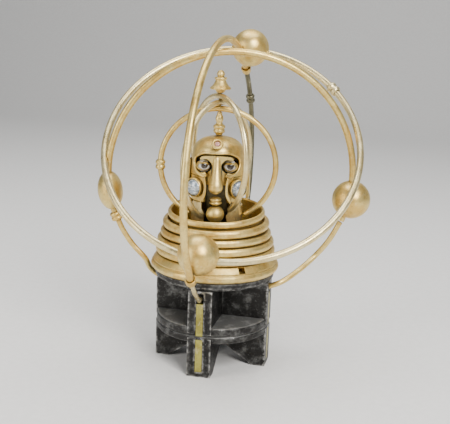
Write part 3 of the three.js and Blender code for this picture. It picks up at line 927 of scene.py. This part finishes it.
spindle = [
    (0, 186.9),
    (2.6, 186.9),
    (2.9, 188.6),
    (4.5, 189.2),
    (4.6, 191.0),
    (3.9, 191.9),
    (4.8, 192.8),
    (4.8, 194.6),
    (3.2, 195.4),
    (2.3, 196.8),
    (3.2, 199.4),
    (3.0, 201.4),
    (1.9, 203.6),
    (1.9, 205.3),
    (1.1, 205.3),
    (1.1, 223.2),
    (0, 223.2),
]
on_bust("spindle", turned(soften(spindle, 0.7), 64))

finial = [
    (0, 220.4),
    (3.0, 220.4),
    (3.7, 221.8),
    (4.4, 223.0),
    (8.2, 223.2),
    (8.4, 224.1),
    (7.8, 224.8),
    (6.2, 226.2),
    (4.5, 229.0),
    (4.0, 230.3),
    (4.8, 231.0),
    (5.0, 231.9),
    (4.6, 232.5),
    (2.3, 232.8),
    (3.3, 234.6),
    (2.6, 236.8),
    (1.2, 237.9),
    (0, 238.1),
]
place("finial", turned(soften(finial, 0.8), 64), "brass", "finial")


# ---------------------------------------------------------------- outer hoops

ENDS = {"crossways_right": -21.5, "crossways_left": 199.5, "fore_front": 217.5, "fore_rear": 48.5}
groove = tube(CROSSWAYS.arc(150, 190, 40), OUTER_TUBE + 0.4, 24)
tilted = tube(TILTED.arc(0, 358, 179), OUTER_TUBE, 24, closed=True)
on_stand("hoop_tilted", tilted, "pale_brass", cuts=[groove])
crossways = CROSSWAYS.arc(ENDS["crossways_right"], ENDS["crossways_left"], 160)
on_stand("hoop_crossways", tube(crossways, OUTER_TUBE, 24), bevel=0.4, sharp=60)
fore = FORE.arc(ENDS["fore_rear"], ENDS["fore_front"], 140)
on_stand("hoop_fore", tube(fore, OUTER_TUBE, 24), bevel=0.4, sharp=60)


def rod(hoop, angles, stations, radius):
    """A rod that follows a hoop through the angles, then its stations to a fin's slot."""
    return tube(flow([*[hoop.at(a) for a in angles], *stations], 10), radius, 18)


seat = BASE["radius"] - BASE["deep"] + ROD + 0.8
on_stand(
    "rod_right",
    rod(CROSSWAYS, (-22.2, -33, -43), [(67, 15, 77), (54.5, 2, 69.4), (seat, 0, 65.6)], ROD),
    bevel=0.4,
    sharp=60,
)
on_stand(
    "rod_left",
    rod(
        CROSSWAYS,
        (200.3, 208, 217, 226),
        [(-54, -4, 73), (-50, -0.5, 67.8), (-seat, 0, 65.2)],
        ROD,
    ),
    bevel=0.4,
    sharp=60,
)
on_stand(
    "rod_front",
    rod(FORE, (219.5, 228, 236), [(0.3, -50, 65.4), (0, -seat, 64.2)], FRONT_ROD),
    "pale_brass",
    bevel=0.4,
    sharp=60,
)
on_stand(
    "rod_rear",
    rod(FORE, (46.5, 38, 29.5, 21, 5, -15, -35, -48), [(1, 52, 67), (0, seat, 65.2)], ROD),
    "dark_brass",
    bevel=0.4,
    sharp=60,
)

SLEEVES = (
    ("sleeve_left", "brass", CROSSWAYS, 200.9, OUTER_TUBE + 0.2, 4.7, 7.0),
    ("sleeve_rear", "dark_brass", FORE, 29.5, ROD + 0.3, 3.9, 8.0),
    ("sleeve_tilted", "pale_brass", TILTED, 38, OUTER_TUBE + 0.2, 4.5, 9.0),
)
for name, look, hoop, angle, hole, bead, length in SLEEVES:
    beads = sleeve(hole, bead, length)
    on_stand(name, beads.aim(hoop.at(angle), hoop.ahead(angle), hoop.outward(angle)), look)

CLIPS = (
    ("clip_front", ENDS["fore_front"] + 0.9, -1, FRONT_ROD + 0.2),
    ("clip_rear", ENDS["fore_rear"] - 0.9, 1, ROD + 0.2),
)
for name, angle, direction, hole in CLIPS:
    cup = [
        (hole, -3.4),
        (2.7, -3.4),
        (3.7, -1.8),
        (4.3, 3.2),
        (OUTER_TUBE + 0.2, 3.2),
        (OUTER_TUBE + 0.2, -0.6),
        (hole, -0.6),
    ]
    facing = FORE.ahead(angle) * direction
    solid = ringed(soften(cup, 0.5, True), 48)
    on_stand(name, solid.aim(FORE.at(angle), facing, FORE.outward(angle)))


# ---------------------------------------------------------------- planets

PLANET = 15.6


def bore(hoop, angle):
    return tube(hoop.arc(angle - 13, angle + 13, 24), OUTER_TUBE + 0.25, 32)


def planet(name, centre, body, *bores):
    hoop, angle = bores[0]
    sphere = ball(PLANET).aim(centre, hoop.ahead(angle), hoop.outward(angle))
    place(name, sphere, "brass", body, cuts=[bore(*one) for one in bores], bevel=0.3)


planet("planet_front", (3.3, -68.3, 106.7), "planet_front", (TILTED, 259))
planet("planet_top", (10.0, 64.0, 253.5), "stand", (TILTED, 84), (FORE, 62))
planet("planet_right", (104.8, 34.4, 136.2), "planet_right", (CROSSWAYS, -10.5))

LEFT = 188.2
bead = ball(PLANET).stretch(0.64, 1, 1)
bead_hole = turned([(0, -20), (3.7, -20), (3.7, 20), (0, 20)], 48)
bead_centre = CROSSWAYS.at(LEFT) - 0.6 * CROSSWAYS.outward(LEFT)
bead_facing = (CROSSWAYS.ahead(LEFT), CROSSWAYS.outward(LEFT))
place(
    "planet_left",
    bead.aim(bead_centre, *bead_facing),
    "brass",
    "planet_left",
    cuts=[bead_hole.aim(bead_centre, *bead_facing)],
    bevel=0.3,
)


# ---------------------------------------------------------------- studio

FLOOR_REACH = 4.0
BACK_WALL = 2.2
CORNER = 0.8
sweep = [(-FLOOR_REACH, 0.0)]
for step in range(13):
    turn = math.radians(7.5 * step)
    sweep.append((BACK_WALL - CORNER + CORNER * math.sin(turn), CORNER - CORNER * math.cos(turn)))
sweep.append((BACK_WALL, FLOOR_REACH))
floor_mesh = bpy.data.meshes.new("floor")
floor_points = [(x, y, z) for y, z in sweep for x in (-FLOOR_REACH, FLOOR_REACH)]
floor_faces = [(2 * i, 2 * i + 1, 2 * i + 3, 2 * i + 2) for i in range(len(sweep) - 1)]
floor_mesh.from_pydata(floor_points, [], floor_faces)
floor_mesh.shade_smooth()
floor = bpy.data.objects.new("floor", floor_mesh)
bpy.context.scene.collection.objects.link(floor)
paper = Look("paper")
fibre = paper.noise(6.0, 4.0)
paper_colour = paper.mix(paper.ramp(fibre, 0.3, 0.7), (0.80, 0.79, 0.77, 1), (0.84, 0.83, 0.81, 1))
floor_mesh.materials.append(paper.finish(paper_colour, 0.75, paper.bump(fibre, 0.05), 0.0))

MIDDLE = Vector((0.0, 0.0, 0.135))


def soft_light(name, spot, size, power, colour=(1.0, 1.0, 1.0)):
    lamp = bpy.data.lights.new(name, "AREA")
    lamp.shape = "RECTANGLE"
    lamp.size = size[0]
    lamp.size_y = size[1]
    lamp.energy = power
    lamp.color = colour
    made = bpy.data.objects.new(name, lamp)
    made.location = spot
    made.rotation_euler = (MIDDLE - Vector(spot)).to_track_quat("-Z", "Y").to_euler()
    bpy.context.scene.collection.objects.link(made)


soft_light("key", (0.75, -0.95, 1.05), (0.55, 0.8), 30.0, (1.0, 0.98, 0.95))
soft_light("fill", (-1.0, -1.0, 0.55), (0.6, 1.0), 11.0, (1.0, 0.97, 0.92))
soft_light("top", (-0.1, 0.2, 1.4), (1.1, 0.8), 16.0)
world = bpy.data.worlds.new("studio")
world.use_nodes = True
world.node_tree.nodes["Background"].inputs["Color"].default_value = (0.9, 0.94, 1.0, 1)
world.node_tree.nodes["Background"].inputs["Strength"].default_value = 0.27
bpy.context.scene.world = world

LOOK_AT = Vector((6.73, 1.51, 124.4))
BACK = Vector((0.21255, -0.95090, 0.22495))
ACROSS = Vector((0.97361, 0.22567, 0.03400))
DISTANCE = 700.0
camera_data = bpy.data.cameras.new("camera")
camera_data.sensor_width = 36.0
camera_data.lens = 69.08
camera_data.clip_start = 0.01
camera = bpy.data.objects.new("camera", camera_data)
upward = BACK.cross(ACROSS).normalized()
eye_point = (LOOK_AT + BACK * DISTANCE + BASE_AXIS) * MM
turn = Matrix((ACROSS, upward, BACK)).transposed().to_4x4()
camera.matrix_world = Matrix.Translation(eye_point) @ turn
bpy.context.scene.collection.objects.link(camera)
bpy.context.scene.camera = camera
